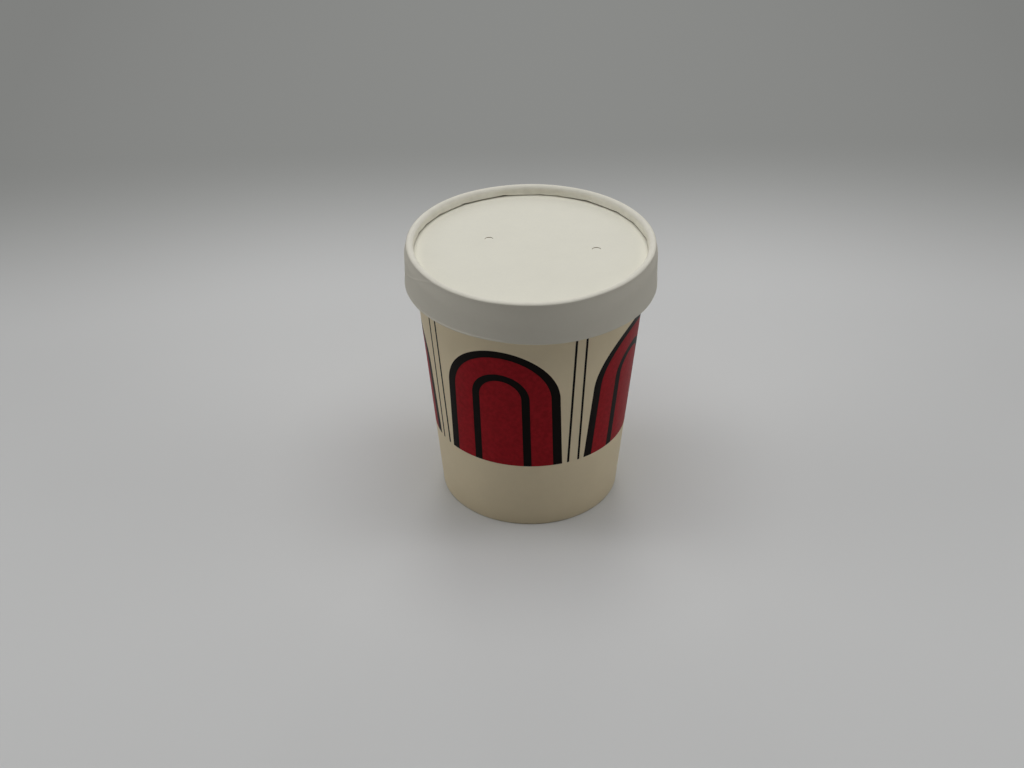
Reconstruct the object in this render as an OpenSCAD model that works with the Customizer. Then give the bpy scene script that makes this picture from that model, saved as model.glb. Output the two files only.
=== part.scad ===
// Paper soup cup with a push-on paper lid.
// The cup is a rolled wall round a recessed base, the lid a band round a vented panel.
// The origin is at the middle of the foot, +Z up, and the photographed side faces -Y.

/* [Cup] */
// Outer radius of the cup where the wall meets its bottom fold
foot_r = 37.15; // [34:0.05:42]
// Height of the cup from the table to the top of its rolled rim
cup_h = 109; // [95:0.5:120]
// Lean of the wall away from upright, in degrees
wall_lean = 5.33; // [4:0.01:7]
// Thickness of the wall's board
cup_t = 0.4; // [0.3:0.01:0.5]
// Overall width of the rolled rim's section
rim_d = 2.46; // [2.2:0.02:2.8]
// Angle that the rolled rim turns through, in degrees
rim_turn = 290; // [240:5:300]
// Width of the wall's glued side seam
seam_w = 7; // [4:0.5:12]
// Direction of the side seam, in degrees from +X
seam_at = 116; // [0:1:359]
// Depth by which the bottom fold is pressed flat
foot_press = 0.05; // [0.02:0.01:0.1]

/* [Base] */
// Height of the base's underside above the table
base_lift = 8; // [6:0.1:12]
// Thickness of the base's board
base_t = 0.4; // [0.3:0.01:0.5]
// Inside radius of the bend between the base and its skirt
base_bend = 0.4; // [0.3:0.05:0.8]
// Space between the top of the wall's hem and the base
hem_gap = 1.2; // [0.6:0.1:2]

/* [Lid] */
// Overall height of the lid's band
band_h = 17.3; // [14:0.1:22]
// Lean of the band inwards towards its top, in degrees
band_lean = 0.45; // [0:0.05:1]
// Thickness of the lid's board
lid_t = 0.4; // [0.3:0.01:0.5]
// Overall width of the curl at the band's bottom edge
curl_d = 1.1; // [1.04:0.02:1.4]
// Angle that the curl turns through, in degrees
curl_turn = 250; // [180:5:260]
// Height of the crest above the panel's top face
crest_h = 4.5; // [3.5:0.1:6]
// Overall width of the rounded crest
crest_w = 2.5; // [2.2:0.05:3]
// Lean of the crest's inner flap towards the middle, in degrees
flap_lean = 11; // [4:0.5:16]
// Inside radius of the bend between the panel and its flange
panel_bend = 0.4; // [0.3:0.05:0.8]
// Width of the band's glued seam
band_seam_w = 8; // [4:0.5:12]
// Direction of the band's seam, in degrees from +X
band_seam_at = 65; // [0:1:180]

/* [Vents] */
// Distance between the two vent slits
vent_spacing = 43.8; // [30:0.2:56]
// Place of the middle of the pair across the panel
vent_x = 4.8; // [-8:0.1:8]
// Place of the middle of the pair along the panel
vent_y = 4.3; // [-8:0.1:8]
// Turn of the pair, in degrees
vent_turn = -11; // [-90:1:90]
// Radius of each half-round slit
slit_r = 1.8; // [1.2:0.1:3]
// Width of the cut
slit_w = 0.3; // [0.2:0.05:0.5]

/* [Fit] */
// Clearance between the rolled rim and the lid's curl
lid_clear = 0.2; // [0.1:0.02:0.4]
// Gap between the rolled rim's top and the lid's panel
seat_gap = 0.2; // [0.1:0.02:0.4]
// Gap between glued layers of board
glue_gap = 0.05; // [0.03:0.01:0.08]
// Gap between the flap's free edge and the lid's panel
flap_gap = 0.25; // [0.1:0.05:0.5]
// Gap at the end of a layer tucked into a fold
tuck_gap = 0.2; // [0.1:0.05:0.4]

/* [Print] */
// Height of the line that the print stands on
print_low = 32; // [20:1:45]
// Unprinted stretch of the wall below its rolled rim, out of sight under the lid
rim_margin = 8; // [4:0.5:12]
// Extra angle left plain between the two arches beside the side seam
seam_blank = 24; // [14:1:60]
// Number of arches round the cup
arch_count = 4; // [3:1:5]
// Gap between an arch's foot and the nearest upright line
arch_gap = 2.1; // [1:0.1:4]
// Height of an arch's straight legs
arch_leg = 34; // [20:1:40]
// Width of the red band in an arch
red_w = 8; // [5:0.1:9]
// Width of the black bars in an arch
bar_w = 3.2; // [2:0.1:4]
// Number of thin upright lines between two arches
line_count = 2; // [1:1:3]
// Width of the thin lines
line_w = 1; // [0.5:0.1:1.4]
// Distance between the thin lines
line_pitch = 4.6; // [3:0.1:6]
// Depth that the print's colour is drawn to
ink_depth = 0.1; // [0.05:0.05:0.15]

/* [Hidden] */
$fn = 96;
cream = [0.86, 0.81, 0.69];
red = [0.72, 0.08, 0.14];
black = [0.08, 0.08, 0.08];
white = [0.93, 0.92, 0.88];

// A strip runs this far into a bend that is drawn in another frame.
lap = 0.02;

// Directions out of the wall's outer face and up along it.
wall_out = [cos(wall_lean), -sin(wall_lean)];
wall_up = [sin(wall_lean), cos(wall_lean)];

// The foot: wall, base skirt and hem lie side by side in one round fold.
fold_r = cup_t + glue_gap + base_t / 2;
fold_c = [foot_r - fold_r * wall_out[0], fold_r - foot_press];
foot = fold_c + fold_r * wall_out;

// Point at u outwards from the wall's outer face and s up along it.
function on_wall(u, s) = foot + u * wall_out + s * wall_up;

// Length along the wall at which a point u from its face is z above the table.
function up_wall(u, z) = (z - foot[1] + u * sin(wall_lean)) / cos(wall_lean);

// The rolled rim, tangent to the wall's inner face.
rim_r = rim_d / 2;
wall_s = up_wall(rim_r - cup_t, cup_h - rim_r);
rim_c = on_wall(rim_r - cup_t, wall_s);
rim_out = rim_c[0] + rim_r;

// The base's skirt and its bend.
base_u = -cup_t - glue_gap;
bend_u = base_u - base_t - base_bend;
bend_s = up_wall(bend_u, base_lift - base_bend);
bend_c = on_wall(bend_u, bend_s);
hem_s = up_wall(-2 * fold_r, base_lift - hem_gap);

// The lid's panel lies over the rolled rim, and the crest stands above it.
panel_z = cup_h + seat_gap;
panel_top = panel_z + lid_t;
crest_z = panel_top + crest_h;
crest_r = crest_w / 2;
curl_r = curl_d / 2;
curl_c = [rim_out + lid_clear + curl_r, crest_z - band_h + curl_r];

// Directions out of the band's outer face and up along it.
band_out = [cos(band_lean), sin(band_lean)];
band_up = [-sin(band_lean), cos(band_lean)];
band = curl_c + curl_r * band_out;

// Point at u outwards from the band's outer face and s up along it.
function on_band(u, s) = band + u * band_out + s * band_up;

// Length along the band at which a point u from its face is z above the table.
function up_band(u, z) = (z - band[1] - u * sin(band_lean)) / cos(band_lean);

band_s = up_band(-crest_r, crest_z - crest_r);
crest_c = on_band(-crest_r, band_s);
flap_a = 180 - flap_lean;
flap_in = crest_r - lid_t;
flap_len = (crest_c[1] + flap_in * sin(flap_a) - panel_top - flap_gap) / -cos(flap_a);

// The panel's upturned flange, glued inside the band.
flange_u = -lid_t - glue_gap;
turn_u = flange_u - lid_t - panel_bend;
turn_s = up_band(turn_u, panel_top + panel_bend);
turn_c = on_band(turn_u, turn_s);

// The arches stand evenly spaced on both sides of the seam, with lines between them.
pitch = (360 - seam_blank) / arch_count;
first_arch = seam_at + (seam_blank + pitch) / 2;
lines_half = ((line_count - 1) * line_pitch + line_w) / 2;

// An arch fills the space between the lines on its two sides.
low_r = on_wall(0, up_wall(0, print_low))[0];
arch_r = low_r * sin(pitch / 2 - asin((lines_half + arch_gap) / low_r));
core_r = arch_r - 2 * bar_w - red_w;

// Fan of points from angle a to angle b, reaching past radius r.
function fan(r, a, b) =
  concat([[0, 0]], [for (i = [0:8]) let (turn = a + (b - a) * i / 8) 2 * r * [cos(turn), sin(turn)]]);

// Strip of board bent round a centre, from angle a to angle b.
module bent(centre, outer, t, a, b) {
  translate(centre)
    intersection() {
      difference() {
        circle(outer);
        circle(outer - t);
      }
      polygon(fan(outer, a, b));
    }
}

// Strip of board with its outer face at u, from s0 to s1.
module strip(u, t, s0, s1) {
  polygon([[u - t, s0], [u, s0], [u, s1], [u - t, s1]]);
}

// Frame of the leaning wall: x out from its outer face, y up along it.
module on_cup() {
  translate(foot)
    rotate(-wall_lean)
      children();
}

// Frame of the leaning band: x out from its outer face, y up along it.
module on_lid() {
  translate(band)
    rotate(band_lean)
      children();
}

module wall_section() {
  difference() {
    on_cup() {
      bent([-fold_r, 0], fold_r, cup_t, -180, 0);
      strip(cup_t - 2 * fold_r, cup_t, 0, hem_s);
      strip(0, cup_t, 0, wall_s);
      bent([rim_r - cup_t, wall_s], rim_r, cup_t, 180 - rim_turn, 180);
    }
    translate([0, -cup_t])
      square([2 * foot_r, cup_t]);
  }
}

module base_section() {
  translate(bend_c) {
    bent([0, 0], base_bend + base_t, base_t, -wall_lean, 90);
    rotate(-wall_lean)
      strip(base_bend + base_t, base_t, tuck_gap - bend_s, lap);
  }
  strip(bend_c[0], bend_c[0], base_lift, base_lift + base_t);
}

module band_section() {
  on_lid() {
    bent([-curl_r, 0], curl_r, lid_t, -curl_turn, 0);
    strip(0, lid_t, 0, band_s);
    translate([-crest_r, band_s]) {
      bent([0, 0], crest_r, lid_t, 0, flap_a - band_lean);
      rotate(flap_a - band_lean)
        strip(crest_r, lid_t, -lap, flap_len);
    }
  }
}

module panel_section() {
  translate(turn_c) {
    bent([0, 0], panel_bend + lid_t, lid_t, -90, band_lean);
    rotate(band_lean)
      strip(panel_bend + lid_t, lid_t, -lap, band_s - tuck_gap - turn_s);
  }
  strip(turn_c[0], turn_c[0], panel_z, panel_top);
}

// Second layer of board over a seam of width w, centred on direction a.
module seam(a, w, r) {
  half = asin(w / 2 / r);
  rotate([0, 0, a - half])
    rotate_extrude(angle = 2 * half)
      children();
}

module plain_wall() {
  rotate([0, 0, seam_at])
    rotate_extrude()
      wall_section();
  seam(seam_at, seam_w, foot_r)
    on_cup()
      strip(cup_t, cup_t + lap, 0, wall_s - rim_r - tuck_gap);
}

// Arch of radius r standing on the print's lower line.
module arch(r) {
  intersection() {
    union() {
      translate([0, arch_leg])
        circle(r);
      translate([-r, 0])
        square([2 * r, arch_leg]);
    }
    translate([-r, 0])
      square([2 * r, arch_leg + r]);
  }
}

// Band of an arch, from radius r inwards by w.
module arch_band(r, w) {
  difference() {
    arch(r);
    arch(r - w);
  }
}

// Upright lines between two arches.
module between_lines() {
  for (i = [0:line_count - 1])
    translate([(i - (line_count - 1) / 2) * line_pitch - line_w / 2, 0])
      square([line_w, cup_h - print_low]);
}

// Skin of the wall that takes the print.
module ink_skin() {
  rotate([0, 0, seam_at])
    rotate_extrude()
      on_cup()
        strip(0, ink_depth, up_wall(0, print_low), wall_s - rim_margin);
}

// Repeats a flat drawing round the cup, from direction a on, and carries it out through the wall.
module round_cup(a, count) {
  for (i = [0:count - 1])
    rotate([0, 0, a + i * pitch + 90])
      translate([0, -foot_r / 2, print_low])
        rotate([90, 0, 0])
          linear_extrude(foot_r)
            children();
}

module print_black() {
  intersection() {
    ink_skin();
    union() {
      round_cup(first_arch, arch_count) {
        arch_band(arch_r, bar_w);
        arch_band(core_r + bar_w, bar_w);
      }
      round_cup(first_arch + pitch / 2, arch_count - 1)
        between_lines();
    }
  }
}

module print_red() {
  intersection() {
    ink_skin();
    round_cup(first_arch, arch_count) {
      arch_band(arch_r - bar_w, red_w);
      arch(core_r);
    }
  }
}

module cup_wall() {
  color(black)
    print_black();
  color(red)
    print_red();
  color(cream)
    difference() {
      plain_wall();
      print_black();
      print_red();
    }
}

module cup_base() {
  color(white)
    rotate_extrude()
      base_section();
}

module lid_band() {
  color(white) {
    rotate_extrude()
      band_section();
    seam(band_seam_at, band_seam_w, band[0])
      on_lid()
        strip(lid_t, lid_t + lap, 0, band_s);
  }
}

// Half-round slit through the panel, open towards -Y.
module vent_slit() {
  linear_extrude(3 * lid_t)
    bent([0, 0], slit_r + slit_w / 2, slit_w, 0, 180);
}

module lid_disc() {
  color(white)
    difference() {
      rotate_extrude()
        panel_section();
      translate([vent_x, vent_y, panel_z - lid_t])
        rotate([0, 0, vent_turn])
          for (side = [-1, 1])
            translate([side * vent_spacing / 2, 0, 0])
              vent_slit();
    }
}

cup_wall();
cup_base();
lid_band();
lid_disc();
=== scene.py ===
import math

import bmesh
import bpy
import numpy as np
from mathutils import Matrix, Vector
from mathutils.geometry import delaunay_2d_cdt


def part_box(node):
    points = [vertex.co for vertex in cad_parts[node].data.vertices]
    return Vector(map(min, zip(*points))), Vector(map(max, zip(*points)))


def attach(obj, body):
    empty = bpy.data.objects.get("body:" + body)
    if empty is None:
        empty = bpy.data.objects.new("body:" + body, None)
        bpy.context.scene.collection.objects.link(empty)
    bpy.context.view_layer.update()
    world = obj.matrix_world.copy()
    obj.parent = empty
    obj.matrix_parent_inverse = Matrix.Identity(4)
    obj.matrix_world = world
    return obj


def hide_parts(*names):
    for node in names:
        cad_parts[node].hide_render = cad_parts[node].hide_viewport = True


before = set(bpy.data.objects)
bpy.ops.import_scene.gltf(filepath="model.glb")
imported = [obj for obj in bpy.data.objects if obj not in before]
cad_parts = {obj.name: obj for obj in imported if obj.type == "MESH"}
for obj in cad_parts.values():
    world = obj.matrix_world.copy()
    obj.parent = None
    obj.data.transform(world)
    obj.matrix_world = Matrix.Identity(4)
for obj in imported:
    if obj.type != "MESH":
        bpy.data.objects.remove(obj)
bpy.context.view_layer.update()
mm = 0.001

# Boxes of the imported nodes, which give the sizes that the pieces are built to.
_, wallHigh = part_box("cup_wall")
_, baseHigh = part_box("cup_base")
bandLow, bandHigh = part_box("lid_band")
discLow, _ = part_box("lid_disc")
print("frame loaded, cup height", round(wallHigh.z / mm, 1), "mm")


# Eased rise from 0 to 1 as x runs from low to high.
def easeUp(x, low, high):
    t = np.clip((x - low) / (high - low), 0, 1)
    return t * t * (3 - 2 * t)


# Flat unit vector in a direction.
def heading(angle):
    return np.array([math.cos(angle), math.sin(angle)])


# A flat vector turned a right angle to the left.
def leftOf(vector):
    return np.array([-vector[1], vector[0]])


# Points on an arc round a centre, from one angle to another.
def arcPath(centre, radius, start, stop, count):
    turn = np.linspace(start, stop, count)
    return np.stack([centre[0] + radius * np.cos(turn), centre[1] + radius * np.sin(turn)], axis=1)


# Points on a straight line from a to b.
def linePath(a, b, count):
    share = np.linspace(0, 1, count)[:, None]
    return np.array(a) * (1 - share) + np.array(b) * share


# One path out of several that follow each other, without the doubled joints.
def joinPaths(*paths):
    return np.concatenate([paths[0]] + [path[1:] for path in paths[1:]])


# Turns a flat drawing by an angle and moves it to a place.
def placed(path, turn, place):
    c = math.cos(turn)
    s = math.sin(turn)
    return path @ np.array([[c, s], [-s, c]]) + np.array(place)


# Length along a path at each of its points.
def alongPath(path):
    steps = np.linalg.norm(np.diff(path, axis=0), axis=1)
    return np.concatenate([[0], np.cumsum(steps)])


# Direction to the right of the way that a path runs, at each of its points.
def pathNormals(path):
    along = alongPath(path)
    tangent = np.gradient(path, along, axis=0)
    tangent /= np.linalg.norm(tangent, axis=1)[:, None]
    return np.stack([tangent[:, 1], -tangent[:, 0]], axis=1)


# Angles round a ring, twice as close between the two angles of a fine range.
# Each cut has two columns at one angle, and the probe says on which side of it a column lies.
def ringColumns(count, cuts=(), fine=None):
    even = np.arange(count) * 2 * np.pi / count
    if fine:
        even = np.concatenate([even, even[(even > fine[0]) & (even < fine[1])] + np.pi / count])
    tooNear = 0.3 * 2 * np.pi / count
    away = np.ones(len(even), bool)
    for cut in cuts:
        away &= np.abs((even - cut + np.pi) % (2 * np.pi) - np.pi) > tooNear
    hair = 1e-7
    angle = np.concatenate([even[away]] + [[cut, cut] for cut in cuts])
    probe = np.concatenate([even[away]] + [[cut - hair, cut + hair] for cut in cuts])
    order = np.argsort(probe)
    return angle[order], probe[order]


# Makes a mesh object out of points and faces, closes doubled points and turns the faces outwards.
# The mark is a value at each point, which the materials read as the attribute "fold".
def meshPiece(name, points, faces, slots, mark=None):
    mesh = bpy.data.meshes.new(name)
    mesh.from_pydata(points.tolist(), [], faces)
    mesh.polygons.foreach_set("material_index", np.asarray(slots, np.int32))
    if mark is not None:
        mesh.attributes.new("fold", "FLOAT", "POINT").data.foreach_set("value", mark.astype(np.float32))
    work = bmesh.new()
    work.from_mesh(mesh)
    bmesh.ops.remove_doubles(work, verts=work.verts, dist=1e-7)
    bmesh.ops.dissolve_degenerate(work, edges=work.edges, dist=1e-8)
    if work.calc_volume(signed=True) < 0:
        bmesh.ops.reverse_faces(work, faces=work.faces)
    work.to_mesh(mesh)
    work.free()
    mesh.shade_smooth()
    mesh.set_sharp_from_angle(angle=math.radians(40))
    piece = bpy.data.objects.new(name, mesh)
    bpy.context.scene.collection.objects.link(piece)
    print(name, "has", len(mesh.polygons), "faces")
    return piece


# Board of one thickness carried round the axis: the path is its outer face, from one cut edge to the other.
# shift(angle, along) moves the outer and inner faces along the path's normal, and bend shapes the whole.
# Slots: 0 on the outer face, 1 on the inner face and 2 on cut edges.
# With toAxis the path's end has no cut edge, and with openStart its start has none.
def boardRing(path, board, columns, shift, bend, toAxis=False, openStart=False, fold=None):
    angle, probe = columns
    along = alongPath(path)
    normal = pathNormals(path)
    rows = len(path)
    outShift, inShift = shift(probe[:, None], along[None])
    outer = path[None] + normal[None] * outShift[..., None]
    inner = path[None] + normal[None] * (inShift - board)[..., None]
    loop = np.concatenate([outer, inner[:, ::-1]], axis=1)
    run = np.concatenate([along, along[::-1]])
    r, z = bend(loop[..., 0], loop[..., 1], probe[:, None], run[None])
    points = np.stack([r * np.cos(angle)[:, None], r * np.sin(angle)[:, None], z], axis=-1).reshape(-1, 3)
    count = 2 * rows
    column = np.arange(len(angle))[:, None]
    row = np.arange(count)[None]
    after = (column + 1) % len(angle)
    quads = np.stack([column * count + row, after * count + row, after * count + (row + 1) % count,
                      column * count + (row + 1) % count], axis=-1)
    slot = np.zeros((len(angle), count), int)
    slot[:, rows:] = 1
    slot[:, rows - 1] = 2
    slot[:, -1] = 2
    slot[np.abs(np.roll(angle, -1) - angle) < 1e-6] = 2
    kept = np.ones(count, bool)
    if toAxis:
        kept[rows - 1] = False
    if openStart:
        kept[-1] = False
    mark = None
    if fold is not None:
        mark = np.tile(fold(run), len(angle))
    return points, quads[:, kept].reshape(-1, 4), slot[:, kept].reshape(-1), mark


# How far the layers of a glued lap stand out, as shares of one layer: the outer and the inner face.
# The sheet starts at the lap's first edge, goes once round and climbs onto its own start.
def lapShares(angle, lap):
    past = (angle - lap["at"] + lap["half"] + np.pi) % (2 * np.pi) - np.pi
    climb = easeUp(past, -lap["rise"], 0)
    return climb * (past <= 2 * lap["half"]), climb * (past < 0)


# The lap of a glued seam at a radius: its direction, half its angle, the angle of its climb, and its edges.
def seamLap(size, radius):
    at = size["seamAt"]
    half = math.asin(size["seamWidth"] / 2 / radius)
    return {"at": at, "half": half, "rise": size["seamRise"], "edges": [at - half, at + half]}


# A sheet without a lap: neither face stands out.
def noShift(angle, run):
    none = np.zeros(np.broadcast(angle, run).shape)
    return none, none


# Eased rise and fall between four directions in degrees, counted on past 360 where they pass +X.
def swell(degrees, rise, full, fall, end):
    turned = (degrees - rise) % 360
    return easeUp(turned, 0, full - rise) * (1 - easeUp(turned, fall - rise, end - rise))


# Full circle round the axis, without a doubled end.
def ringPath(radius, count):
    return arcPath([0, 0], radius, 0, 2 * np.pi * (1 - 1 / count), count)


# The wall: hem, bottom fold, leaning face and rolled rim out of one sheet.
cupWall = {
    "board": 0.4 * mm,  # thickness of the board
    "glue": 0.05 * mm,  # between two layers
    "lean": math.radians(5.33),  # of the face, away from upright
    "rimWidth": 2.46 * mm,  # of the rolled rim's section
    "rimTurn": math.radians(290),  # that the rim is rolled through
    "foldRadius": 0.65 * mm,  # outside radius of the bottom fold
    "press": 0.05 * mm,  # by which the fold is pressed flat
    "hemTop": 6.8 * mm,  # height of the hem's cut edge
    "seamAt": math.radians(116),  # direction of the glued side seam
    "seamWidth": 7 * mm,
    "seamRise": math.radians(6),  # over which the sheet climbs onto its own start
    "seamFade": (0.5 * mm, 6 * mm),  # lengths above the fold between which the lap comes out
    "fineRows": 8 * mm,  # length above the fold up to which the rows are close
    "wave": 0.05 * mm,  # unevenness of the face
    "waveRise": (10 * mm, 60 * mm),  # heights between which it comes in
    "waveFall": (92 * mm, 105 * mm),  # and between which it fades
    "wearAndHighlight": (0.6 * mm, 1.6 * mm),  # half width of the rubbed band on the fold, and where it ends
    "columns": 480,
}


# Hem, half-round fold, straight face and rolled rim, each tangent to the next: drawn upright, then leaned.
# The last value of each line or arc is its count of points.
def wallSection(size):
    lean = size["lean"]
    board = size["board"]
    fold = size["foldRadius"]
    roll = size["rimWidth"] / 2
    out = heading(-lean)
    rimCentre = np.array([wallHigh.x - roll, wallHigh.z - roll])
    footZ = fold - size["press"] - fold * math.sin(lean)
    top = rimCentre - (roll - board) * out
    length = (top[1] - footZ) / math.cos(lean)
    foot = top - length * leftOf(out)
    hem = (size["hemTop"] - footZ - 2 * fold * math.sin(lean)) / math.cos(lean)
    parts = [
        linePath([-2 * fold, hem], [-2 * fold, 0], 10),
        arcPath([-fold, 0], fold, math.pi, 2 * math.pi, 19),
        linePath([0, 0], [0, size["fineRows"]], 14),
        linePath([0, size["fineRows"]], [0, length], 34),
        arcPath([roll - board, length], roll - board, math.pi, math.pi - size["rimTurn"], 27),
    ]
    faceRow = len(parts[0]) + len(parts[1]) - 2
    return placed(joinPaths(*parts), -lean, foot), foot, faceRow


# The wall's section once round the axis, with the side seam's second layer on its outside.
def buildWall(size):
    path, foot, faceRow = wallSection(size)
    faceStart = alongPath(path)[faceRow]
    foldMiddle = faceStart - size["foldRadius"]
    lap = seamLap(size, foot[0])
    layer = size["board"] + size["glue"]
    fadeFrom, fadeTo = size["seamFade"]

    # The lap fades out towards the fold, where its layers are pressed into one.
    def shift(angle, run):
        shown = layer * easeUp(run, faceStart + fadeFrom, faceStart + fadeTo)
        over, under = lapShares(angle, lap)
        return shown * over, shown * under

    # Three and five slow waves round the cup, and a flat foot.
    def bend(r, z, angle, run):
        wave = np.sin(3 * angle + 0.8) + 0.6 * np.sin(5 * angle + 2.1)
        free = easeUp(z, *size["waveRise"]) * (1 - easeUp(z, *size["waveFall"]))
        return r + size["wave"] * wave * free, np.maximum(z, 0)

    # The print is rubbed along the middle of the fold.
    def wearAndHighlight(run):
        return 1 - easeUp(np.abs(run - foldMiddle), *size["wearAndHighlight"])

    columns = ringColumns(size["columns"], lap["edges"])
    return meshPiece("printed_wall", *boardRing(path, size["board"], columns, shift, bend, fold=wearAndHighlight)), foot


printedWall, wallFoot = buildWall(cupWall)


# The base: a disc with its rim bent down between the wall and the hem.
cupBase = {
    "board": 0.4 * mm,
    "bend": 0.4 * mm,  # inside radius of the bend
    "tuck": 0.2 * mm,  # from the skirt's edge to the bottom of the fold
    "dish": 0.3 * mm,  # by which the middle hangs down
    "dishAbove": (6 * mm, 8 * mm),  # heights between which it comes in, above the skirt
    "columns": 360,
}


# Skirt, bend and disc: a line up inside the wall, a quarter arc tangent to it and a line to the axis.
def buildBase(size, wall):
    board = size["board"]
    bendOut = size["bend"] + board
    out = heading(-wall["lean"])
    up = leftOf(out)
    face = wallFoot - (wall["board"] + wall["glue"]) * out
    start = face + size["tuck"] * up
    centre = face - bendOut * out
    centre = centre + up * (baseHigh.z - bendOut - centre[1]) / up[1]
    path = joinPaths(
        linePath(start, centre + bendOut * out, 8),
        arcPath(centre, bendOut, -wall["lean"], math.pi / 2, 13),
        linePath([centre[0], baseHigh.z], [0, baseHigh.z], 24),
    )

    # The disc sags as a shallow bowl, deepest in the middle.
    def bend(r, z, angle, run):
        return r, z - size["dish"] * (1 - easeUp(r, 0, centre[0])) * easeUp(z, *size["dishAbove"])

    columns = ringColumns(size["columns"])
    return meshPiece("recessed_base", *boardRing(path, board, columns, noShift, bend, toAxis=True))


recessedBase = buildBase(cupBase, cupWall)


# The lid's band: bottom curl, skirt, rounded crest and inner flap out of one strip.
lidBand = {
    "board": 0.4 * mm,
    "glue": 0.05 * mm,
    "lean": math.radians(0.45),  # of the skirt, inwards towards its top
    "curlWidth": 1.1 * mm,  # of the curl at the bottom edge
    "curlTurn": math.radians(250),
    "crestTop": 113.77 * mm,
    "shoulder": (0.45 * mm, math.radians(55)),  # radius, and the turn at which it ends
    "crown": (2.0 * mm, math.radians(113)),
    "innerBend": 1.65 * mm,
    "flapFoot": 46.95 * mm,  # radius of the flap's free edge
    "flapGap": 0.36 * mm,  # between the flap's edge and the panel
    "seamAt": math.radians(65),
    "seamWidth": 8 * mm,
    "seamRise": math.radians(5),
    "seamFade": 2.5 * mm,  # over which the lap fades out below the crest
    "seamFoot": (0.8 * mm, 0.4 * mm),  # lengths before and after the curl's end, between which it comes in
    "fineRows": (2 * mm, 7 * mm),  # lengths above the curl up to which the rows are close
    "columns": 400,
    "fineColumns": (math.radians(172), math.radians(226)),  # where they are twice as close
}

# What folding and handling did to the band, and where its crest and flap are painted paler as painted light,
# with directions in degrees.
# Four directions say where a mark starts to rise, is full, starts to fade and ends.
bandMarks = {
    "kinksAt": [179, 165, 155, 143, 126, 104, 85, 76, 60, 41, 27, 9,
                -8, -24, -45, -61, -82, -97, -118, -133, -152, -168],
    "kinkDepth": 0.55,  # share of a full chord between two kinks
    "kinkWidth": 1.6,
    "kinkLift": 0.22 * mm,  # by which the flap's edge rises at a kink
    "kinkFall": 0.3,  # share of that by which it lies lower between two
    "open": (0.33 * mm, 86, 8, 22),  # the flap's further lift, and how far off a direction it rises
    "shut": (0.3 * mm, (175, 183, 353, 367)),  # by which it is lower where it rests on the panel
    "flapReach": 0.8 * mm,  # length of the inner bend that moves with the flap
    # Painted light: the crest, in part, and the flap, wholly, take the band's paler colour.
    "paintedCrestLight": (0.6, 0.2 * mm, 1 * mm),  # share on the crest, and the lengths over which it comes in
    "crestWave": 0.06 * mm,
    "crestRise": (0.45 * mm, (283, 308, 333, 357)),  # at the right of the front
    "crestDip": (0.3 * mm, (205, 228, 244, 266)),  # at the left of the front
    "crestReach": 6 * mm,  # length of the skirt that moves with the crest
    "skirtDrop": (0.7 * mm, (243, 285, 370, 450)),  # the bottom edge hangs lower at the right
    "skirtReach": 9 * mm,
    "crease": (0.15 * mm, (176, 198, 218.5, 223.5)),  # height of the crease's ridge
    "creaseFrom": (200, 106.8 * mm),  # direction and height at one end
    "creaseTo": (221.5, 113.2 * mm),
    "creaseWidth": 0.26 * mm,
    "hollow": (0.35, 1.2 * mm, 0.9 * mm),  # share of the ridge, height above it and width
    # How far the bottom edge stands out, and over what length: the left of the front, and both sides.
    "flares": [
        (0.28 * mm, 0.36 * mm, (200, 218, 240, 266)),
        (0.25 * mm, 1.5 * mm, (176, 190, 204, 222)),
        (0.25 * mm, 3 * mm, (305, 328, 348, 370)),
    ],
}

# The whole lid sits a little to the right on the rim, and its top is squeezed in.
lidFit = {
    "aside": 0.2 * mm,
    "squeeze": 0.55 * mm,
    # Where it is stronger or weaker: direction in degrees, share and narrowness.
    "more": [(200, 0.4, 2), (318, 0.7, 4), (140, -0.45, 8), (38, -0.35, 8)],
    "from": 109.6 * mm,  # height at which it starts
    "fromFront": 103 * mm,  # at the front it starts lower and is gentler
    "to": 113.2 * mm,
}


# Radius after the squeeze, which eases in with height, and the shift along X.
def fittedRadius(r, z, angle):
    share = 1
    for degrees, more, power in lidFit["more"]:
        share = share + more * np.clip(np.cos(angle - math.radians(degrees)), 0, 1) ** power
    front = np.clip(-np.sin(angle), 0, 1) ** 2
    start = lidFit["from"] + (lidFit["fromFront"] - lidFit["from"]) * front
    return r - lidFit["squeeze"] * share * easeUp(z, start, lidFit["to"]) + lidFit["aside"] * np.cos(angle)


# The straight stretches between two kinks: depth of the chord under the circle, and how near a kink is.
def kinkShape(angle, marks):
    kinks = np.sort(np.radians(marks["kinksAt"]) % (2 * np.pi))
    turn = angle % (2 * np.pi)
    ring = np.concatenate([[kinks[-1] - 2 * np.pi], kinks, [kinks[0] + 2 * np.pi]])
    place = np.searchsorted(ring, turn, side="right") - 1
    low = ring[place]
    high = ring[place + 1]
    half = (high - low) / 2
    off = turn - (low + high) / 2
    chord = 1 - np.cos(half) / np.cos(off)
    near = np.exp(-((half - np.abs(off)) / math.radians(marks["kinkWidth"])) ** 2)
    return chord, near


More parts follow.
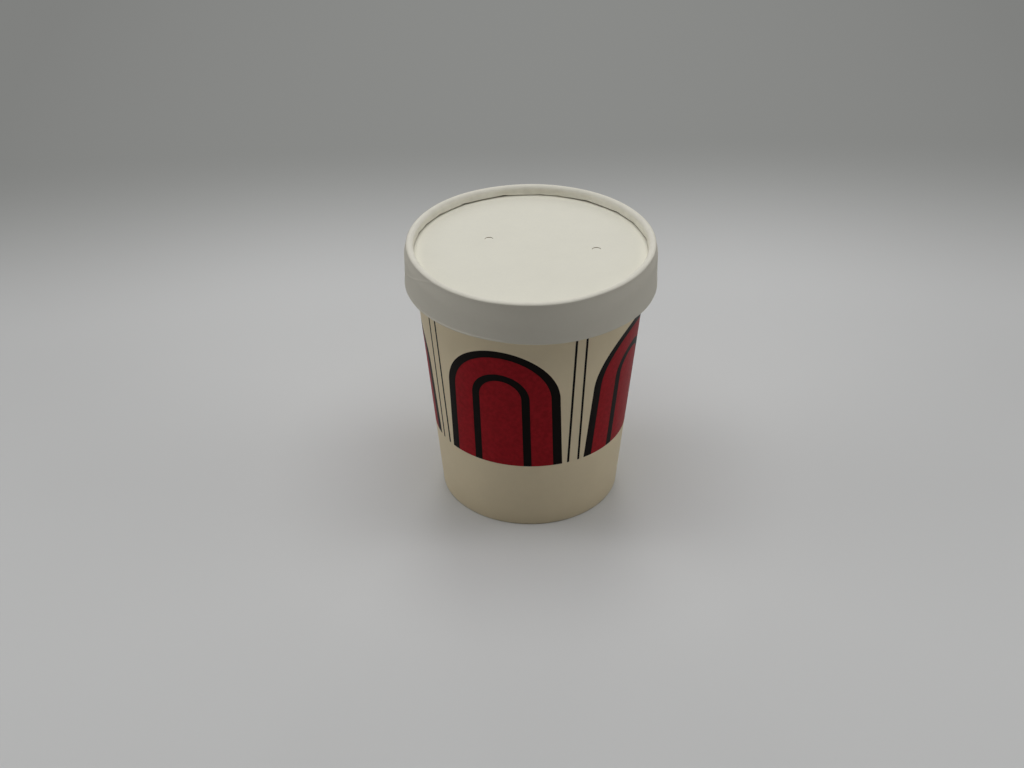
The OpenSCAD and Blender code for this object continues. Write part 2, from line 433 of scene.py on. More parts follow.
# Curl, skirt and crest: a small shoulder, a round crown and an inner bend, each arc tangent to the next.
# The flap leaves the last one along the tangent that meets its free edge.
def bandSection(size):
    curl = size["curlWidth"] / 2
    lean = size["lean"]
    curlCentre = np.array([bandHigh.x - curl, bandLow.z + curl])
    start = curlCentre + curl * heading(lean)
    shoulder, firstTurn = size["shoulder"]
    crown, secondTurn = size["crown"]
    first = np.array([-shoulder, 0])
    second = first + (shoulder - crown) * heading(firstTurn)
    length = size["crestTop"] - start[1] - second[1] - crown
    third = second + (crown - size["innerBend"]) * heading(secondTurn)
    rise = np.array([0, length])
    fineTo, closeTo = size["fineRows"]
    foot = np.array([size["flapFoot"], discLow.z + size["board"] + size["flapGap"]])
    foot = placed(foot - start, -lean, [0, 0])
    way = foot - third - rise
    stop = math.atan2(way[1], way[0]) % (2 * math.pi) - math.acos(size["innerBend"] / math.hypot(*way))
    parts = [
        arcPath([-curl, 0], curl, -size["curlTurn"], 0, 17),
        linePath([0, 0], [0, fineTo], 13),
        linePath([0, fineTo], [0, closeTo], 8),
        linePath([0, closeTo], [0, length], 30),
        arcPath(first + rise, shoulder, 0, firstTurn, 8),
        arcPath(second + rise, crown, firstTurn, secondTurn, 12),
        arcPath(third + rise, size["innerBend"], secondTurn, stop, 7),
    ]
    parts.append(linePath(parts[-1][-1], foot, 9))
    ends = np.cumsum([len(part) - 1 for part in parts])
    return placed(joinPaths(*parts), lean, start), start, length, ends


# The band's section once round the axis, with the seam's second layer and the marks of handling.
def buildBand(size, marks):
    path, start, length, ends = bandSection(size)
    curlEnd, skirtEnd, bendEnd, flapEdge = 0, 3, 6, 7  # places in the section's list of arcs and lines
    skirtStart, crestStart, flapStart, flapEnd = alongPath(path)[ends[[curlEnd, skirtEnd, bendEnd, flapEdge]]]
    lap = seamLap(size, start[0])
    layer = size["board"] + size["glue"]

    # The second layer lies outside on the skirt and fades out below the crest and at the curl.
    def shift(angle, run):
        before, after = size["seamFoot"]
        top = 1 - easeUp(run, crestStart - size["seamFade"], crestStart)
        shown = layer * top * easeUp(run, skirtStart - before, skirtStart + after)
        over, under = lapShares(angle, lap)
        return shown * over, shown * under

    # The flap runs straight from kink to kink, and its edge rises at each.
    # It rests on the panel in front and stands open at both sides of the back.
    def foldFlap(r, z, angle, degrees, onFlap):
        chord, near = kinkShape(angle, marks)
        lift, middle, clear, full = marks["open"]
        drop, where = marks["shut"]
        shut = swell(degrees, *where)
        gap = marks["kinkLift"] * (near - marks["kinkFall"])
        gap = gap + lift * easeUp(np.abs(degrees - middle), clear, full)
        return r - onFlap * marks["kinkDepth"] * chord * r, z + onFlap * (gap * (1 - shut) - drop * shut)

    # The crest rises and falls slowly round the lid, and stands highest at the right of the front.
    def crestHeight(angle, degrees):
        slow = np.sin(2 * angle + 0.6) + 0.5 * np.sin(5 * angle + 1.9) + 0.35 * np.sin(9 * angle)
        rise, right = marks["crestRise"]
        dip, left = marks["crestDip"]
        return marks["crestWave"] * slow + rise * swell(degrees, *right) - dip * swell(degrees, *left)

    # The crease is a thin ridge with a hollow above it, on a line that climbs from the left to the crest.
    def creaseHeight(z, degrees):
        ridge, where = marks["crease"]
        first, low = marks["creaseFrom"]
        last, high = marks["creaseTo"]
        share, above, width = marks["hollow"]
        off = z - low - (degrees - first) * (high - low) / (last - first)
        shape = np.exp(-(off / marks["creaseWidth"]) ** 2) - share * np.exp(-((off - above) / width) ** 2)
        return ridge * shape * swell(degrees, *where)

    # The flap is folded first, then the crest and the skirt's lower edge move up and down.
    # The crease and the flares stand out on the skirt at last.
    def bend(r, z, angle, run):
        degrees = np.degrees(angle) % 360
        onFlap = easeUp(run, flapStart - marks["flapReach"], flapEnd)
        r, z = foldFlap(fittedRadius(r, z, angle), z, angle, degrees, onFlap)
        top = easeUp(run, crestStart - marks["crestReach"], crestStart) * (1 - onFlap)
        low = 1 - easeUp(run, skirtStart, skirtStart + marks["skirtReach"])
        drop, where = marks["skirtDrop"]
        z = z + top * crestHeight(angle, degrees) - low * drop * swell(degrees, *where)
        r = r + creaseHeight(z, degrees) * (run > skirtStart) * (run < flapStart)
        for by, reach, where in marks["flares"]:
            r = r + by * np.exp(-((run - skirtStart) / reach) ** 2) * swell(degrees, *where)
        return r, z

    # The crest is painted paler in part, and the flap wholly: painted light against the band's shaded colour.
    def wearAndHighlight(run):
        share, start, full = marks["paintedCrestLight"]
        crest = easeUp(run, crestStart + start, crestStart + full)
        return share * crest + (1 - share) * easeUp(run, flapStart - full, flapStart)

    columns = ringColumns(size["columns"], lap["edges"], size["fineColumns"])
    made = boardRing(path, size["board"], columns, shift, bend, fold=wearAndHighlight)
    return meshPiece("lid_skirt", *made), start, length


lidSkirt, bandStart, bandLength = buildBand(lidBand, bandMarks)


# The lid's panel: a disc with an upturned flange, and two half-round vent slits.
lidPanel = {
    "board": 0.4 * mm,
    "bend": 0.4 * mm,  # inside radius of the bend
    "tuck": 0.2 * mm,  # from the flange's edge to the crest
    "flatRadius": 45 * mm,  # inside of which the disc is filled with a net
    "fitReach": 3 * mm,  # over which the rest takes up the lid's fit
    "ventMiddle": (4.8 * mm, 4.3 * mm),
    "ventSpacing": 43.8 * mm,
    "ventTurn": math.radians(-11),  # of the line through both vents
    "slitTurn": math.radians(5),  # of each slit
    "slitRadius": 1.65 * mm,
    "slitWidth": 0.22 * mm,
    "slitEnd": math.radians(5),  # by which each end stops short of a half round
    "slitBlunt": 1.3,  # the inner edge stops short by this much more
    "tongueDrop": 0.15 * mm,  # of a tongue's middle
    "lip": (0.06 * mm, 0.5 * mm),  # height of a slit's outer lip, and how far it runs out
    "wave": 0.06 * mm,
    "waveFrom": 34 * mm,  # radius at which the unevenness starts to fade
    "netStep": 1.6 * mm,
    # Rings of points round a vent, each a radius and a count, and the room that the even net leaves them.
    "ventRings": [(0.5 * mm, 6), (1.1 * mm, 14), (2.35 * mm, 26), (3 * mm, 24), (3.8 * mm, 24)],
    "ventClear": 4.4 * mm,
    "columns": 360,
}


# Places of the two vents, and the directions across and up each slit.
def ventPlaces(size):
    middle = np.array(size["ventMiddle"])
    line = heading(size["ventTurn"])
    across = heading(size["slitTurn"])
    vents = [middle + side * size["ventSpacing"] / 2 * line for side in (-1, 1)]
    return vents, across, leftOf(across)


# Radii of a slit's inner and outer edge.
def slitEdges(size):
    half = size["slitWidth"] / 2
    return size["slitRadius"] - half, size["slitRadius"] + half


# Edges of a closed ring of points, as pairs of their numbers.
def ringEdges(first, count):
    return [(first + i, first + (i + 1) % count) for i in range(count)]


# Points round a vent's middle: the slit's outer arc, back along its inner arc, then the rings.
def ventPoints(size):
    inner, outer = slitEdges(size)
    short = size["slitEnd"]
    blunt = size["slitBlunt"] * short
    outline = np.concatenate([
        arcPath([0, 0], outer, short, math.pi - short, 23),
        arcPath([0, 0], inner, math.pi - blunt, blunt, 21),
    ])
    rings = [ringPath(radius, count) for radius, count in size["ventRings"]]
    return np.concatenate([outline] + rings), len(outline)


# Flat net of triangles inside a circle, with both slits cut out.
# Its points lie on even rings round the axis, and on closer ones round each vent.
def panelNet(size, rim):
    vents, across, upward = ventPlaces(size)
    inner, outer = slitEdges(size)
    step = size["netStep"]
    field = []
    for radius in np.arange(step, size["flatRadius"] - 0.6 * step, step):
        field.append(ringPath(radius, max(6, int(round(2 * np.pi * radius / step)))))
    field = np.concatenate(field)
    for vent in vents:
        field = field[np.linalg.norm(field - vent, axis=1) > size["ventClear"]]
    slantedEnd = math.sin((1 + size["slitBlunt"]) / 2 * size["slitEnd"])
    local, outlineCount = ventPoints(size)
    points = np.concatenate([rim, field])
    edges = ringEdges(0, len(rim))
    for vent in vents:
        edges += ringEdges(len(points), outlineCount)
        points = np.concatenate([points, vent + local[:, :1] * across + local[:, 1:] * upward])
    same = 1e-9  # points nearer to each other than this are one
    made = delaunay_2d_cdt([tuple(point) for point in points], edges, [], 0, same)
    net = np.array([tuple(point) for point in made[0]])
    triangles = np.array([face for face in made[2] if len(face) == 3])
    middle = net[triangles].mean(axis=1)
    kept = np.ones(len(triangles), bool)
    for vent in vents:
        off = middle - vent
        far = np.linalg.norm(off, axis=1)
        kept &= ~((far > inner) & (far < outer) & (off @ upward > far * slantedEnd))
    return net, triangles[kept]


# Height of the net: two crossing slow waves that fade towards the flange.
# Each tongue sinks in proportion to its height above the slit's ends, and the lip outside it rises alike.
def netHeight(net, size):
    x, y = net.T
    fade = 1 - easeUp(np.hypot(x, y), size["waveFrom"], size["flatRadius"])
    wave = np.sin(x / (11 * mm) + 0.4) * np.cos(y / (14 * mm)) + 0.5 * np.sin((x + y) / (9 * mm))
    height = size["wave"] * fade * wave
    inner, _ = slitEdges(size)
    rise, reach = size["lip"]
    vents, across, upward = ventPlaces(size)
    for vent in vents:
        off = net - vent
        far = np.linalg.norm(off, axis=1)
        share = np.clip(off @ upward / inner, 0, 1)
        lip = rise * np.exp(-(far - size["slitRadius"]) / reach)
        height = height + share * np.where(far < size["slitRadius"], -size["tongueDrop"], lip)
    return height


# Faces of the net's underside and top, and walls in the slits, where an edge has only one triangle.
def netFaces(net, triangles, size):
    count = len(net)
    pairs = np.concatenate([triangles[:, [0, 1]], triangles[:, [1, 2]], triangles[:, [2, 0]]])
    _, back, seen = np.unique(np.sort(pairs, axis=1), axis=0, return_inverse=True, return_counts=True)
    free = pairs[seen[back.ravel()] == 1]
    inside = np.linalg.norm(net[free].mean(axis=1), axis=1) < size["flatRadius"] - size["netStep"]
    a, b = free[inside].T
    walls = np.column_stack([b + count, a + count, a, b])
    slots = np.repeat([0, 1, 2], [len(triangles), len(triangles), len(walls)])
    return [triangles[:, ::-1], triangles + count, walls], slots


# A line on the underside, a quarter arc tangent to it and a line up inside the band, once round the axis.
# The net fills the middle.
def buildPanel(size, band):
    board = size["board"]
    lean = band["lean"]
    bendOut = size["bend"] + board
    out = heading(lean)
    up = leftOf(out)
    face = bandStart - (band["board"] + band["glue"]) * out
    centre = face - bendOut * out
    centre = centre + up * (discLow.z + bendOut - centre[1]) / up[1]
    top = face + (bandLength - size["tuck"]) * up
    path = joinPaths(
        linePath([size["flatRadius"], discLow.z], [centre[0], discLow.z], 5),
        arcPath(centre, bendOut, -math.pi / 2, lean, 13),
        linePath(centre + bendOut * out, top, 7),
    )

    # The flange is squeezed and moved aside with the band.
    def bend(r, z, angle, run):
        share = easeUp(r, size["flatRadius"], size["flatRadius"] + size["fitReach"])
        return r + (fittedRadius(r, z, angle) - r) * share, z

    columns = ringColumns(size["columns"])
    points, quads, slots, _ = boardRing(path, board, columns, noShift, bend, openStart=True)
    net, triangles = panelNet(size, ringPath(size["flatRadius"], size["columns"]))
    height = netHeight(net, size)
    under = np.column_stack([net, discLow.z + height])
    over = np.column_stack([net, discLow.z + board + height])
    groups, netSlots = netFaces(net, triangles, size)
    faces = quads.tolist()
    for group in groups:
        faces += (group + len(points)).tolist()
    points = np.concatenate([points, under, over])
    return meshPiece("lid_panel", points, faces, np.concatenate([slots, netSlots]))


lidPanelPiece = buildPanel(lidPanel, lidBand)

# Each surface rides on its body and stands in for its node.
for piece, body, node, slot in [
    (printedWall, "cup", "cup_wall", "printed_board"),
    (recessedBase, "cup", "cup_base", "base_board"),
    (lidSkirt, "lid", "lid_band", "band_board"),
    (lidPanelPiece, "lid", "lid_disc", "panel_board"),
]:
    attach(piece, body)
    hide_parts(node)
print("pieces placed on the frame")


# Makes a shader node group out of named inputs (None for a vector) and named outputs.
def newGroup(name, inputs, outputs):
    group = bpy.data.node_groups.new(name, "ShaderNodeTree")
    for label, value in inputs.items():
        kind = "NodeSocketVector" if value is None else "NodeSocketFloat"
        socket = group.interface.new_socket(label, in_out="INPUT", socket_type=kind)
        if value is not None:
            socket.default_value = value
    for label in outputs:
        group.interface.new_socket(label, in_out="OUTPUT", socket_type="NodeSocketFloat")
    return group, group.nodes.new("NodeGroupInput").outputs, group.nodes.new("NodeGroupOutput").inputs


# Puts a value or another node's output on an input.
def feed(tree, socket, value):
    if isinstance(value, bpy.types.NodeSocket):
        tree.links.new(value, socket)
    else:
        socket.default_value = value


# A Math node on one to three values.
def calc(tree, operation, *values):
    node = tree.nodes.new("ShaderNodeMath")
    node.operation = operation
    for socket, value in zip(node.inputs, values):
        feed(tree, socket, value)
    return node.outputs[0]


# Sum of two values.
def plus(tree, first, second):
    return calc(tree, "ADD", first, second)


# The first value less the second.
def minus(tree, first, second):
    return calc(tree, "SUBTRACT", first, second)


# Product of all the values.
def times(tree, product, *others):
    for value in others:
        product = calc(tree, "MULTIPLY", product, value)
    return product


# Root of the sum of two squares.
def distance(tree, first, second):
    return calc(tree, "SQRT", plus(tree, times(tree, first, first), times(tree, second, second)))


# A value taken from one range to another, eased at both ends.
def rangeStep(tree, value, low, high, start=0.0, stop=1.0):
    node = tree.nodes.new("ShaderNodeMapRange")
    node.interpolation_type = "SMOOTHSTEP"
    labels = ["Value", "From Min", "From Max", "To Min", "To Max"]
    for label, part in zip(labels, [value, low, high, start, stop]):
        feed(tree, node.inputs[label], part)
    return node.outputs["Result"]


# Noise between 0 and 1 on a vector, which may be stretched first.
def grain(tree, vector, scale, detail=3.0, rough=0.55, stretch=None):
    if stretch:
        mapping = tree.nodes.new("ShaderNodeMapping")
        mapping.inputs["Scale"].default_value = stretch
        tree.links.new(vector, mapping.inputs["Vector"])
        vector = mapping.outputs[0]
    node = tree.nodes.new("ShaderNodeTexNoise")
    feed(tree, node.inputs["Vector"], vector)
    feed(tree, node.inputs["Scale"], scale)
    node.inputs["Detail"].default_value = detail
    node.inputs["Roughness"].default_value = rough
    return node.outputs["Fac"]


# Mix of two colours by a share.
def blendColour(tree, share, first, second, kind="MIX"):
    node = tree.nodes.new("ShaderNodeMix")
    node.data_type = "RGBA"
    node.blend_type = kind
    feed(tree, node.inputs[0], share)
    feed(tree, node.inputs[6], first)
    feed(tree, node.inputs[7], second)
    return node.outputs[2]


# Colour times a tone.
def toned(tree, colour, tone):
    joined = tree.nodes.new("ShaderNodeCombineColor")
    for channel in joined.inputs:
        tree.links.new(tone, channel)
    return blendColour(tree, 1.0, colour, joined.outputs[0], "MULTIPLY")


# The piece's own coordinates.
def ownPlace(tree):
    return tree.nodes.new("ShaderNodeTexCoord").outputs["Object"]


# Two shaders mixed by a share onto an output's surface.
def mixSurface(tree, share, first, second, output):
    mixed = tree.nodes.new("ShaderNodeMixShader")
    feed(tree, mixed.inputs[0], share)
    tree.links.new(first.outputs[0], mixed.inputs[1])
    tree.links.new(second.outputs[0], mixed.inputs[2])
    tree.links.new(mixed.outputs[0], tree.nodes[output].inputs["Surface"])


# X, Y and Z of a vector.
def splitVector(tree, vector):
    parts = tree.nodes.new("ShaderNodeSeparateXYZ")
    tree.links.new(vector, parts.inputs[0])
    return parts.outputs


# The paper's fibre: noise scales are counts to a metre.
fibreGrain = {
    "clouds": 55,
    "patches": 260,
    "patchTone": 0.5,  # strength of the patches next to the clouds
    "patchHeight": 0.6,  # and next to the fibres
    "stretch": (1, 1, 2.2),  # fibres lie round the cup
}


# Paper fibre: slow clouds, patches and fine fibres change the tone, and patches and fibres the height.
def makeFibreGroup(look):
    group, given, put = newGroup(
        "boardFibre", {"Vector": None, "Cloud": 0.05, "Fleck": 0.04, "Fibre Scale": 900.0}, ["Tone", "Height"]
    )
    vector = given["Vector"]
    cloud = minus(group, grain(group, vector, look["clouds"], 4), 0.5)
    patch = minus(group, grain(group, vector, look["patches"], 3), 0.5)
    fibre = grain(group, vector, given["Fibre Scale"], 3, 0.6, look["stretch"])
    slow = times(group, plus(group, cloud, times(group, patch, look["patchTone"])), given["Cloud"])
    fine = times(group, minus(group, fibre, 0.5), given["Fleck"])
    feed(group, put["Tone"], plus(group, plus(group, slow, fine), 1.0))
    feed(group, put["Height"], plus(group, times(group, patch, look["patchHeight"]), fibre))
    return group


# Print of the wall: arches of nested bands, and pairs of thin lines between them.
archPrint = {
    "low": 32 * mm,  # height of the print's lower edge
    "high": 99.9 * mm,  # of the ends of the thin lines
    "leg": 34 * mm,  # straight part of an arch
    "radius": 23.02 * mm,
    "bar": 3.2 * mm,  # width of a black band
    "red": 8 * mm,  # width of the red band
    "lineWidth": 1 * mm,
    "linePitch": 4.6 * mm,
    "blank": math.radians(24),  # plain angle at the seam
    "count": 4,
    "softEdge": 0.05 * mm,
    "wobbleGrain": 1400,
}


# Bands follow the distance from an arch's middle line, which ends in a point at the top of its legs.
# "Red" is all the ink of the arches, and "Black" is laid over it.
def makePrintGroup(size):
    group, given, put = newGroup("archPrint", {"Vector": None, "Edge Wobble": 0.06 * mm}, ["Red", "Black"])
    whole = 2 * math.pi - size["blank"]
    pitch = whole / size["count"]
    soft = size["softEdge"]

    # 1 where a value is below a limit and 0 above, over a soft edge.
    def below(value, limit):
        return rangeStep(group, value, limit - soft, limit + soft, 1.0, 0.0)

    x, y, z = splitVector(group, given["Vector"])
    noise = grain(group, given["Vector"], size["wobbleGrain"], 2)
    wobble = times(group, minus(group, noise, 0.5), given["Edge Wobble"])
    radius = distance(group, x, y)
    turn = minus(group, calc(group, "ARCTAN2", y, x), cupWall["seamAt"] + size["blank"] / 2)
    turn = calc(group, "WRAP", turn, 2 * math.pi, 0.0)
    local = minus(group, calc(group, "FLOORED_MODULO", turn, pitch), pitch / 2)
    across = times(group, radius, calc(group, "SINE", local))
    rise = minus(group, z, size["low"])
    above = calc(group, "MAXIMUM", minus(group, rise, size["leg"]), 0.0)
    far = plus(group, distance(group, across, above), wobble)
    started = rangeStep(group, plus(group, rise, wobble), -soft, soft)

    # The arch, and its red band and red middle, each inside a black band.
    inked = times(group, below(far, size["radius"]), started, calc(group, "LESS_THAN", turn, whole))
    redOuter = size["radius"] - size["bar"]
    redInner = redOuter - size["red"]
    redBand = minus(group, below(far, redOuter), below(far, redInner))
    red = times(group, inked, plus(group, redBand, below(far, redInner - size["bar"])))

    # The lines, by distance from the middle between two arches.
    aside = minus(group, pitch / 2, calc(group, "ABSOLUTE", local))
    off = minus(group, times(group, radius, calc(group, "SINE", aside)), size["linePitch"] / 2)
    line = below(plus(group, calc(group, "ABSOLUTE", off), wobble), size["lineWidth"] / 2)
    afterFirst = calc(group, "GREATER_THAN", turn, pitch / 2)
    beforeLast = calc(group, "LESS_THAN", turn, whole - pitch / 2)
    lines = times(group, line, afterFirst, beforeLast, started, below(z, size["high"]))
    feed(group, put["Red"], inked)
    feed(group, put["Black"], calc(group, "MAXIMUM", minus(group, inked, red), lines))
    return group


fibreGroup = makeFibreGroup(fibreGrain)
printGroup = makePrintGroup(archPrint)

# Colours and finishes of the boards.
# Fibre: strength of its clouds, of its flecks, and its fineness. Bump: its depth and strength.
# Mottle and patches: a grain, two levels of its noise, and the tone or the share of the wear and highlight
# colour at each.
rawColour = (0.60, 0.52, 0.40, 1)
boardLooks = {
    "printedBoard": {
        "colour": (0.775, 0.665, 0.466, 1),
        "fibre": (0.06, 0.05, 1500),
        "rough": 0.50,
        "bump": (0.03 * mm, 0.5),
        "roughSpread": 0.12,
        "sheen": 0.06,
        "red": (0.32, 0.008, 0.014, 1),
        "black": (0.004, 0.002, 0.0015, 1),
        "inkRough": 0.46,
        "mottle": (600, 0.3, 0.7, 0.82, 1.16),  # of the red
        "wearAndHighlight": rawColour,
        "patches": (300, 0.45, 0.7, 0.0, 0.5),
    },
    "coatedBoard": {
        "colour": (0.80, 0.78, 0.71, 1),
        "fibre": (0.05, 0.03, 900),
        "rough": 0.42,
        "bump": (0.02 * mm, 0.6),
    },
    "panelBoard": {
        "colour": (0.828, 0.807, 0.70, 1),
        "fibre": (0.06, 0.05, 1100),
        "rough": 0.72,
        "bump": (0.04 * mm, 0.6),
    },
    # The band's colour is darker than the panel's white: painted shade on its upright skirt.
    "bandBoard": {
        "colour": (0.652, 0.62, 0.535, 1),
        "fibre": (0.06, 0.05, 1100),
        "rough": 0.72,
        "bump": (0.04 * mm, 0.6),
        "wearAndHighlight": (0.935, 0.91, 0.805, 1),  # painted light on the crest and flap
        "patches": (260, 0.2, 0.7, 0.72, 1.0),
    },
    "rawEdge": {
        "colour": rawColour,
        "fibre": (0.12, 0.25, 2600),
        "rough": 0.85,
        "bump": (0.05 * mm, 0.6),
    },
}
boardDefaults = {"roughSpread": 0.15, "sheen": 0.25}


# A board's look, and its material with the piece's own coordinates and a fibre group in it.
def newBoard(name):
    look = {**boardDefaults, **boardLooks[name]}
    material = bpy.data.materials.new(name)
    material.use_nodes = True
    tree = material.node_tree
    place = ownPlace(tree)
    fibre = tree.nodes.new("ShaderNodeGroup")
    fibre.node_tree = fibreGroup
    tree.links.new(place, fibre.inputs["Vector"])
    for label, value in zip(["Cloud", "Fleck", "Fibre Scale"], look["fibre"]):
        fibre.inputs[label].default_value = value
    return look, material, tree, place, fibre.outputs


# The wear and highlight colour laid over the piece's folds, in patches: real wear on the wall's bottom fold,
# painted light on the band's crest and flap.
def wearAndHighlightColour(tree, place, look, colour):
    fold = tree.nodes.new("ShaderNodeAttribute")
    fold.attribute_name = "fold"
    scale, *levels = look["patches"]
    patches = rangeStep(tree, grain(tree, place, scale, 3), *levels)
    return blendColour(tree, times(tree, fold.outputs["Fac"], patches), colour, look["wearAndHighlight"])


# Colour on the shader, roughness that follows the fibre's height, and its bump.
def finishBoard(tree, look, colour, rough, height):
    shader = tree.nodes["Principled BSDF"]
    feed(tree, shader.inputs["Base Color"], colour)
    spread = times(tree, minus(tree, height, 0.5), look["roughSpread"])
    feed(tree, shader.inputs["Roughness"], plus(tree, spread, rough))
    shader.inputs["Specular IOR Level"].default_value = look["sheen"]
    bump = tree.nodes.new("ShaderNodeBump")
    bump.inputs["Distance"].default_value, bump.inputs["Strength"].default_value = look["bump"]
    tree.links.new(height, bump.inputs["Height"])
    tree.links.new(bump.outputs[0], shader.inputs["Normal"])


# Board in one colour, with the wear and highlight colour at its folds where its look says so: on the band
# that is painted light.
def plainBoard(name):
    look, material, tree, place, fibre = newBoard(name)
    colour = toned(tree, look["colour"], fibre["Tone"])
    if "wearAndHighlight" in look:
        colour = wearAndHighlightColour(tree, place, look, colour)
    finishBoard(tree, look, colour, look["rough"], fibre["Height"])
    return material


# Cream board with mottled red ink and then black laid over it, rubbed at the bottom fold.
def printedBoard(name):
    look, material, tree, place, fibre = newBoard(name)
    art = tree.nodes.new("ShaderNodeGroup")
    art.node_tree = printGroup
    tree.links.new(place, art.inputs["Vector"])
    scale, *levels = look["mottle"]
    mottle = rangeStep(tree, grain(tree, place, scale, 4, 0.6), *levels)
    cream = toned(tree, look["colour"], fibre["Tone"])
    colour = blendColour(tree, art.outputs["Red"], cream, toned(tree, look["red"], mottle))
    colour = blendColour(tree, art.outputs["Black"], colour, look["black"])
    colour = wearAndHighlightColour(tree, place, look, colour)
    ink = calc(tree, "MAXIMUM", art.outputs["Red"], art.outputs["Black"])
    rough = plus(tree, times(tree, ink, look["inkRough"] - look["rough"]), look["rough"])
    finishBoard(tree, look, colour, rough, fibre["Height"])
    return material


printedMaterial = printedBoard("printedBoard")
coatedMaterial = plainBoard("coatedBoard")
panelMaterial = plainBoard("panelBoard")
bandMaterial = plainBoard("bandBoard")
edgeMaterial = plainBoard("rawEdge")

for piece, outside, inside in [
    (printedWall, printedMaterial, coatedMaterial),
    (recessedBase, coatedMaterial, coatedMaterial),
    (lidSkirt, bandMaterial, bandMaterial),
    (lidPanelPiece, panelMaterial, panelMaterial),
]:
    for material in (outside, inside, edgeMaterial):
        piece.data.materials.append(material)
print("materials made")


# A floor with painted light and shade, which the camera sees turn into a darker painted backdrop behind the
# cup and far round it.
floorLook = {
    "half": 6.0,  # of its side
    "under": 0.02 * mm,  # by which it lies under the cup's foot
    "colour": (0.651, 0.654, 0.650, 1),
    "rough": 0.9,
    "sheen": 0.1,
    # Share by which it is painted paler in front of the cup, painted light that thins the cup's shadow there,
    # with the ranges of |X| and Y over which that fades.
    "paintedFrontLight": (0.10, (0.01, 0.09), (-0.058, -0.038)),
    # Share by which it is painted darker at both sides behind the cup, painted shade, with the ranges over
    # which that comes in.
    "paintedSideShade": (0.10, (0.10, 0.26), (-0.05, 0.10)),
    # The backdrop is painted light: a grey glow whose strength falls off to the sides and far back.
    "backdrop": (0.245, 0.248, 0.240, 1),
    "backSides": (1.03, 1.4, 0.88),  # strength in the middle, its fall with the square of X, and the least
    "backFade": (0.6, 1.6),  # distances behind the cup between which it falls to the least
    "backFrom": 0.15,  # distance behind the cup at which the backdrop starts to rise
    "backTo": 0.33,  # and at which it is full
    "backCurve": 0.9,  # times the square of X, by which it comes nearer
    "backTurn": 0.11,  # times X, by which it stays back at the right
    "backSlow": 0.6,  # times the square of X, by which its rise gets longer
    "far": (0.45, 1.1),  # distances between which it rises at any side
}


# 1 where the camera, a reflection or a view through glass sees a surface, and 0 where it gives light.
def seenShare(tree):
    light = tree.nodes.new("ShaderNodeLightPath").outputs
    seen = calc(tree, "MAXIMUM", light["Is Camera Ray"], light["Is Glossy Ray"])
    return calc(tree, "MAXIMUM", seen, light["Is Transmission Ray"])


# The floor's colour, with painted light in front of the cup and painted shade far out at both sides.
def floorColour(tree, look, aside, y):
    gain, paleAside, paleDepth = look["paintedFrontLight"]
    loss, dimAside, dimDepth = look["paintedSideShade"]
    paintedFrontLight = times(tree, rangeStep(tree, aside, *paleAside, 1.0, 0.0), rangeStep(tree, y, *paleDepth, 1.0, 0.0))
    paintedSideShade = times(tree, rangeStep(tree, aside, *dimAside), rangeStep(tree, y, *dimDepth))
    tone = minus(tree, plus(tree, times(tree, paintedFrontLight, gain), 1.0), times(tree, paintedSideShade, loss))
    return toned(tree, look["colour"], tone)


# Share of the backdrop: it rises behind the cup along a bow, and at any side far away.
def backdropShare(tree, look, x, y):
    square = times(tree, x, x)
    right = calc(tree, "MAXIMUM", x, 0.0)
    bow = minus(tree, times(tree, square, look["backCurve"]), times(tree, right, look["backTurn"]))
    backTo = plus(tree, times(tree, square, look["backSlow"]), look["backTo"])
    behind = rangeStep(tree, plus(tree, y, bow), look["backFrom"], backTo)
    return calc(tree, "MAXIMUM", behind, rangeStep(tree, distance(tree, x, y), *look["far"]))


# A square floor whose shader turns into a painted glow of the backdrop's grey, only where it is seen.
def makeFloor(look):
    half = look["half"]
    mesh = bpy.data.meshes.new("floor")
    corners = [(-half, -half), (half, -half), (half, half), (-half, half)]
    mesh.from_pydata([(x, y, -look["under"]) for x, y in corners], [], [(0, 1, 2, 3)])
    floor = bpy.data.objects.new("floor", mesh)
    bpy.context.scene.collection.objects.link(floor)
    material = bpy.data.materials.new("paleFloor")
    material.use_nodes = True
    tree = material.node_tree
    x, y, _ = splitVector(tree, ownPlace(tree))
    shader = tree.nodes["Principled BSDF"]
    shader.inputs["Roughness"].default_value = look["rough"]
    shader.inputs["Specular IOR Level"].default_value = look["sheen"]
    feed(tree, shader.inputs["Base Color"], floorColour(tree, look, calc(tree, "ABSOLUTE", x), y))
    most, fall, least = look["backSides"]
    fading = times(tree, rangeStep(tree, y, *look["backFade"]), most - least)
    strength = minus(tree, minus(tree, most, times(tree, x, x, fall)), fading)
    glow = tree.nodes.new("ShaderNodeEmission")
    glow.inputs["Color"].default_value = look["backdrop"]
    feed(tree, glow.inputs["Strength"], calc(tree, "MAXIMUM", strength, least))
    share = times(tree, backdropShare(tree, look, x, y), seenShare(tree))
    mixSurface(tree, share, shader, glow, "Material Output")
    mesh.materials.append(material)


makeFloor(floorLook)

# Lamps: one large soft light overhead, and weaker ones at the sides and the back.
lampSet = {
    "aim": (0, 0, 0.06),
    # Place, width and power of each.
    "overhead": ((0, 0, 2.0), 2.2, 25.0),
    "left": ((-1.5, 0.1, 0.7), 0.9, 4.3),
    "right": ((1.5, 0.1, 0.7), 0.9, 3.8),
    "back": ((0, 1.6, 0.9), 0.9, 6.8),
}


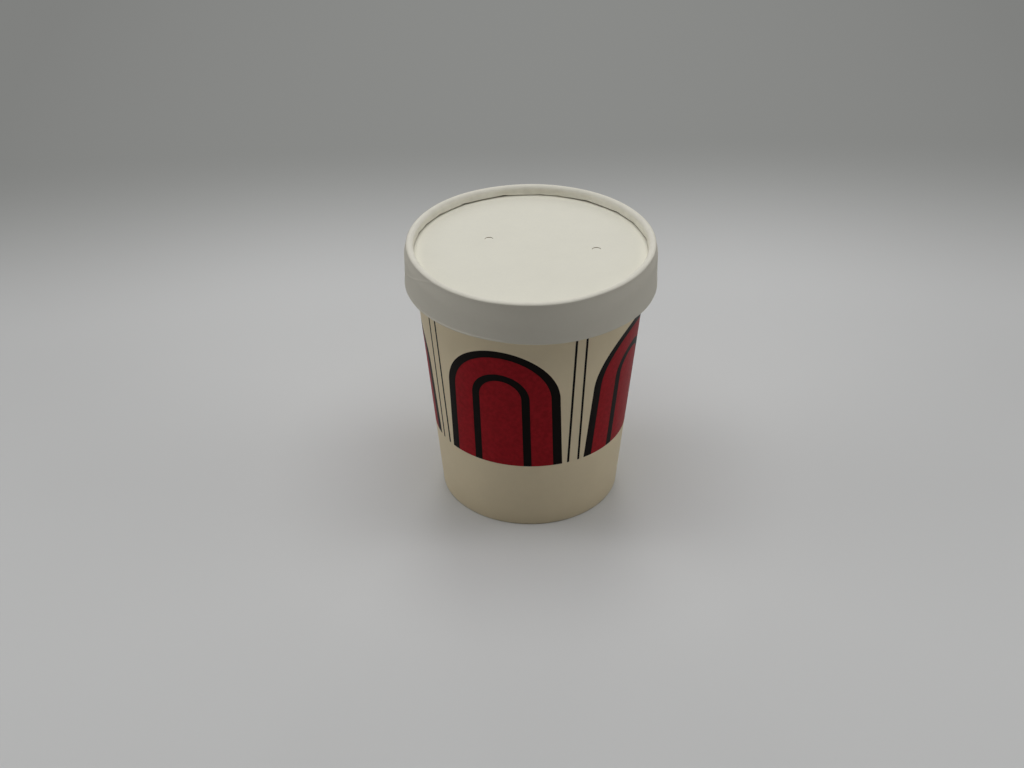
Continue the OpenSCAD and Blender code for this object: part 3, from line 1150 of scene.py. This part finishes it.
# A round area lamp, turned to face its aim.
def makeLamp(name, aim, place, width, power):
    lamp = bpy.data.lights.new(name, "AREA")
    lamp.shape = "DISK"
    lamp.size = width
    lamp.energy = power
    holder = bpy.data.objects.new(name, lamp)
    holder.location = place
    holder.rotation_euler = (Vector(aim) - Vector(place)).to_track_quat("-Z", "Y").to_euler()
    bpy.context.scene.collection.objects.link(holder)


for name in ("overhead", "left", "right", "back"):
    makeLamp(name, lampSet["aim"], *lampSet[name])


# The world gives next to no light, and turns into the far backdrop's grey where it is seen.
def makeWorld(look, light):
    world = bpy.data.worlds.new("studio")
    world.use_nodes = True
    tree = world.node_tree
    low = tree.nodes["Background"]
    low.inputs["Color"].default_value = (1, 1, 1, 1)
    low.inputs["Strength"].default_value = light
    grey = tree.nodes.new("ShaderNodeBackground")
    grey.inputs["Color"].default_value = look["backdrop"]
    grey.inputs["Strength"].default_value = look["backSides"][2]
    mixSurface(tree, seenShare(tree), low, grey, "World Output")
    bpy.context.scene.world = world


makeWorld(floorLook, light=0.01)
bpy.context.scene.view_settings.view_transform = "Standard"

# Camera: in front of the cup and above it. Its turns are in degrees, and its lens in millimetres.
cameraLook = {
    "place": (0, -0.5922, 0.4382),
    "down": 33.56,  # by which it looks below the level
    "yaw": 0.731,
    "roll": -0.222,
    "lens": 59.65,
    "sensor": 36,
    "near": 0.01,
}


# A camera that looks level along Y, turned by yaw, tilted down and then rolled.
def makeCamera(look):
    data = bpy.data.cameras.new("camera")
    data.sensor_fit = "HORIZONTAL"
    data.sensor_width = look["sensor"]
    data.lens = look["lens"]
    data.clip_start = look["near"]
    camera = bpy.data.objects.new("camera", data)
    turn = Matrix.Rotation(math.radians(look["yaw"]), 4, "Z")
    tilt = Matrix.Rotation(math.radians(90 - look["down"]), 4, "X")
    roll = Matrix.Rotation(math.radians(look["roll"]), 4, "Z")
    camera.matrix_world = Matrix.Translation(look["place"]) @ turn @ tilt @ roll
    bpy.context.scene.collection.objects.link(camera)
    bpy.context.scene.camera = camera


makeCamera(cameraLook)
print("floor, lamps and camera set")
